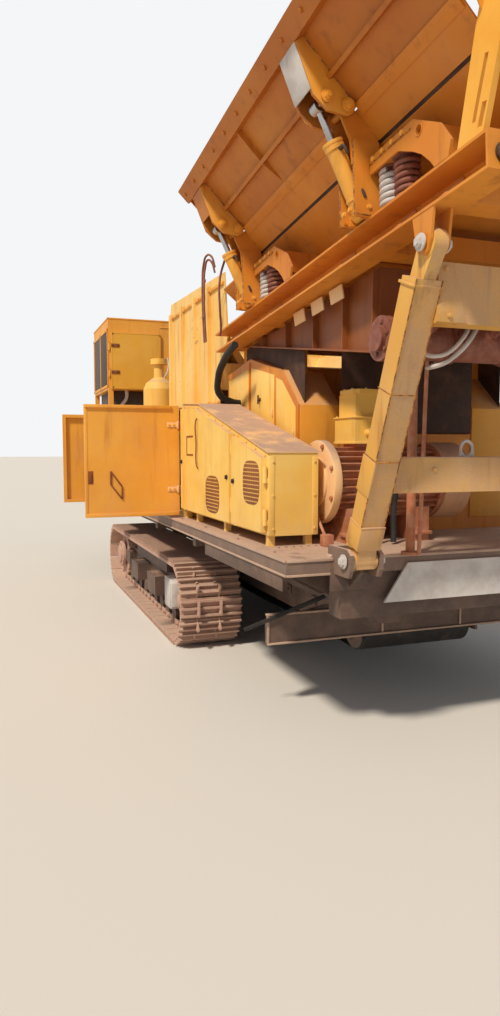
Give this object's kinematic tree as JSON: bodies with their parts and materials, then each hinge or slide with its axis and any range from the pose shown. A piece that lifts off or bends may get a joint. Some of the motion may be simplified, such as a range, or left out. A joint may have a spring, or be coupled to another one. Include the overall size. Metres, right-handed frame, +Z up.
{
  "type": "tracked jaw crusher",
  "caption": "Crawler-mounted jaw crusher with a spring-carried inclined feeder, folding hopper walls, guarded belt drive, housings and a discharge conveyor.",
  "frame": {"origin": "on the ground, midway between the tracks and under the middle of the track length", "axes": "+X towards the feed end, +Z up, -Y is the side with the belt guard and the bay doors"},
  "size_m": [10.848, 3.3116, 3.5776],
  "materials": {
    "yellow_paint": "sun-faded yellow enamel, dusty",
    "pale_yellow_paint": "pale yellow enamel, chalked",
    "orange_paint": "orange-yellow enamel, weathered",
    "chassis_paint": "dusty grey-brown paint over rust",
    "track_steel": "dusty rusted cast steel",
    "wear_steel": "worn manganese steel",
    "machined_steel": "dusty cast iron with bright edges",
    "chrome_rod": "dusty hard chrome",
    "spring_steel": "rust-brown sprung steel",
    "motor_paint": "faded red-brown motor enamel, dusty",
    "belt_rubber": "dull black rubber",
    "grey_plate": "grey painted plate, scuffed"
  },
  "bodies": {
    "plant": {"chassis_frame": "chassis_paint", "deck": "chassis_paint", "track_frame_right": "chassis_paint", "track_frame_left": "chassis_paint", "track_chain_right": "track_steel", "track_chain_left": "track_steel", "track_wheels_right": "track_steel", "track_wheels_left": "track_steel", "belt_guard": "pale_yellow_paint", "off_side_guard": "pale_yellow_paint", "crusher_body": "yellow_paint", "fixed_jaw": "wear_steel", "swing_jaw": "wear_steel", "drive_flywheel": "machined_steel", "plain_flywheel": "machined_steel", "drive_belts": "belt_rubber", "motor_pulley": "machined_steel", "motor_body": "motor_paint", "motor_cowl": "orange_paint", "terminal_box": "pale_yellow_paint", "feeder_support": "yellow_paint", "fines_chute": "orange_paint", "vibrator_drive": "motor_paint", "feeder_frame": "orange_paint", "feeder_trough": "orange_paint", "springs": "spring_steel", "exciter": "orange_paint", "hopper_frame": "orange_paint", "rear_wall": "yellow_paint", "barrels_right": "orange_paint", "barrels_left": "orange_paint", "portal_frame": "yellow_paint", "tall_cabinet": "orange_paint", "power_house_right": "orange_paint", "power_house_left": "orange_paint", "air_cleaner": "pale_yellow_paint", "feed_chute": "yellow_paint", "conveyor_belt": "belt_rubber", "conveyor_drums": "machined_steel", "conveyor_frame": "chassis_paint", "apron_plate": "grey_plate"},
    "guard_door_near": {"guard_door_near": "pale_yellow_paint"},
    "guard_door_far": {"guard_door_far": "pale_yellow_paint"},
    "bay_door_near": {"bay_door_near": "orange_paint"},
    "bay_door_far": {"bay_door_far": "orange_paint"},
    "hopper_wall_right": {"hopper_wall_right": "orange_paint"},
    "hopper_wall_left": {"hopper_wall_left": "orange_paint"},
    "rod_right_near": {"rod_right_near": "chrome_rod"},
    "rod_right_far": {"rod_right_far": "chrome_rod"},
    "rod_left_near": {"rod_left_near": "chrome_rod"},
    "rod_left_far": {"rod_left_far": "chrome_rod"},
    "tall_cabinet_door": {"tall_cabinet_door": "orange_paint"}
  },
  "joints": [
    {"name": "right_wall_fold", "type": "hinge", "parent": "plant", "child": "hopper_wall_right", "pos_m": [4.00822, -1.055, 3.13424], "axis": [0.9973, 0, 0.0732], "range_deg": [0, 72.93]},
    {"name": "left_wall_fold", "type": "hinge", "parent": "plant", "child": "hopper_wall_left", "pos_m": [4.00822, 1.055, 3.13424], "axis": [-0.9973, 0, -0.0732], "range_deg": [0, 72.93]},
    {"name": "right_near_rod_slide", "type": "slide", "parent": "plant", "child": "rod_right_near", "axis": [0.0666, 0.4168, -0.9066], "range_m": [0, 0.12752]},
    {"name": "right_far_rod_slide", "type": "slide", "parent": "plant", "child": "rod_right_far", "axis": [0.0666, 0.4168, -0.9066], "range_m": [0, 0.12752]},
    {"name": "left_near_rod_slide", "type": "slide", "parent": "plant", "child": "rod_left_near", "axis": [0.0666, -0.4168, -0.9066], "range_m": [0, 0.12752]},
    {"name": "left_far_rod_slide", "type": "slide", "parent": "plant", "child": "rod_left_far", "axis": [0.0666, -0.4168, -0.9066], "range_m": [0, 0.12752]},
    {"name": "bay_door_near_hinge", "type": "hinge", "parent": "plant", "child": "bay_door_near", "pos_m": [1.51, -1.175, 1.5], "axis": [0, 0, -1], "range_deg": [0, 90]},
    {"name": "bay_door_far_hinge", "type": "hinge", "parent": "plant", "child": "bay_door_far", "pos_m": [-0.21, -1.175, 1.5], "axis": [0, 0, 1], "range_deg": [0, 90]},
    {"name": "guard_door_far_hinge", "type": "hinge", "parent": "plant", "child": "guard_door_far", "pos_m": [2.8, -1.173, 1.4], "axis": [0, 0, 1], "range_deg": [0, 95]},
    {"name": "guard_door_near_hinge", "type": "hinge", "parent": "plant", "child": "guard_door_near", "pos_m": [3.375, -1.173, 1.4], "axis": [0, 0, 1], "range_deg": [0, 95]},
    {"name": "cabinet_door_hinge", "type": "hinge", "parent": "plant", "child": "tall_cabinet_door", "pos_m": [-2.28, -1.14, 2.73], "axis": [0, 0, -1], "range_deg": [0, 110]}
  ],
  "couplings": [
    {"joint": "right_near_rod_slide", "follows": "right_wall_fold", "m_per_rad": 0.10018},
    {"joint": "right_far_rod_slide", "follows": "right_wall_fold", "m_per_rad": 0.10018},
    {"joint": "left_near_rod_slide", "follows": "left_wall_fold", "m_per_rad": 0.10018},
    {"joint": "left_far_rod_slide", "follows": "left_wall_fold", "m_per_rad": 0.10018}
  ]
}
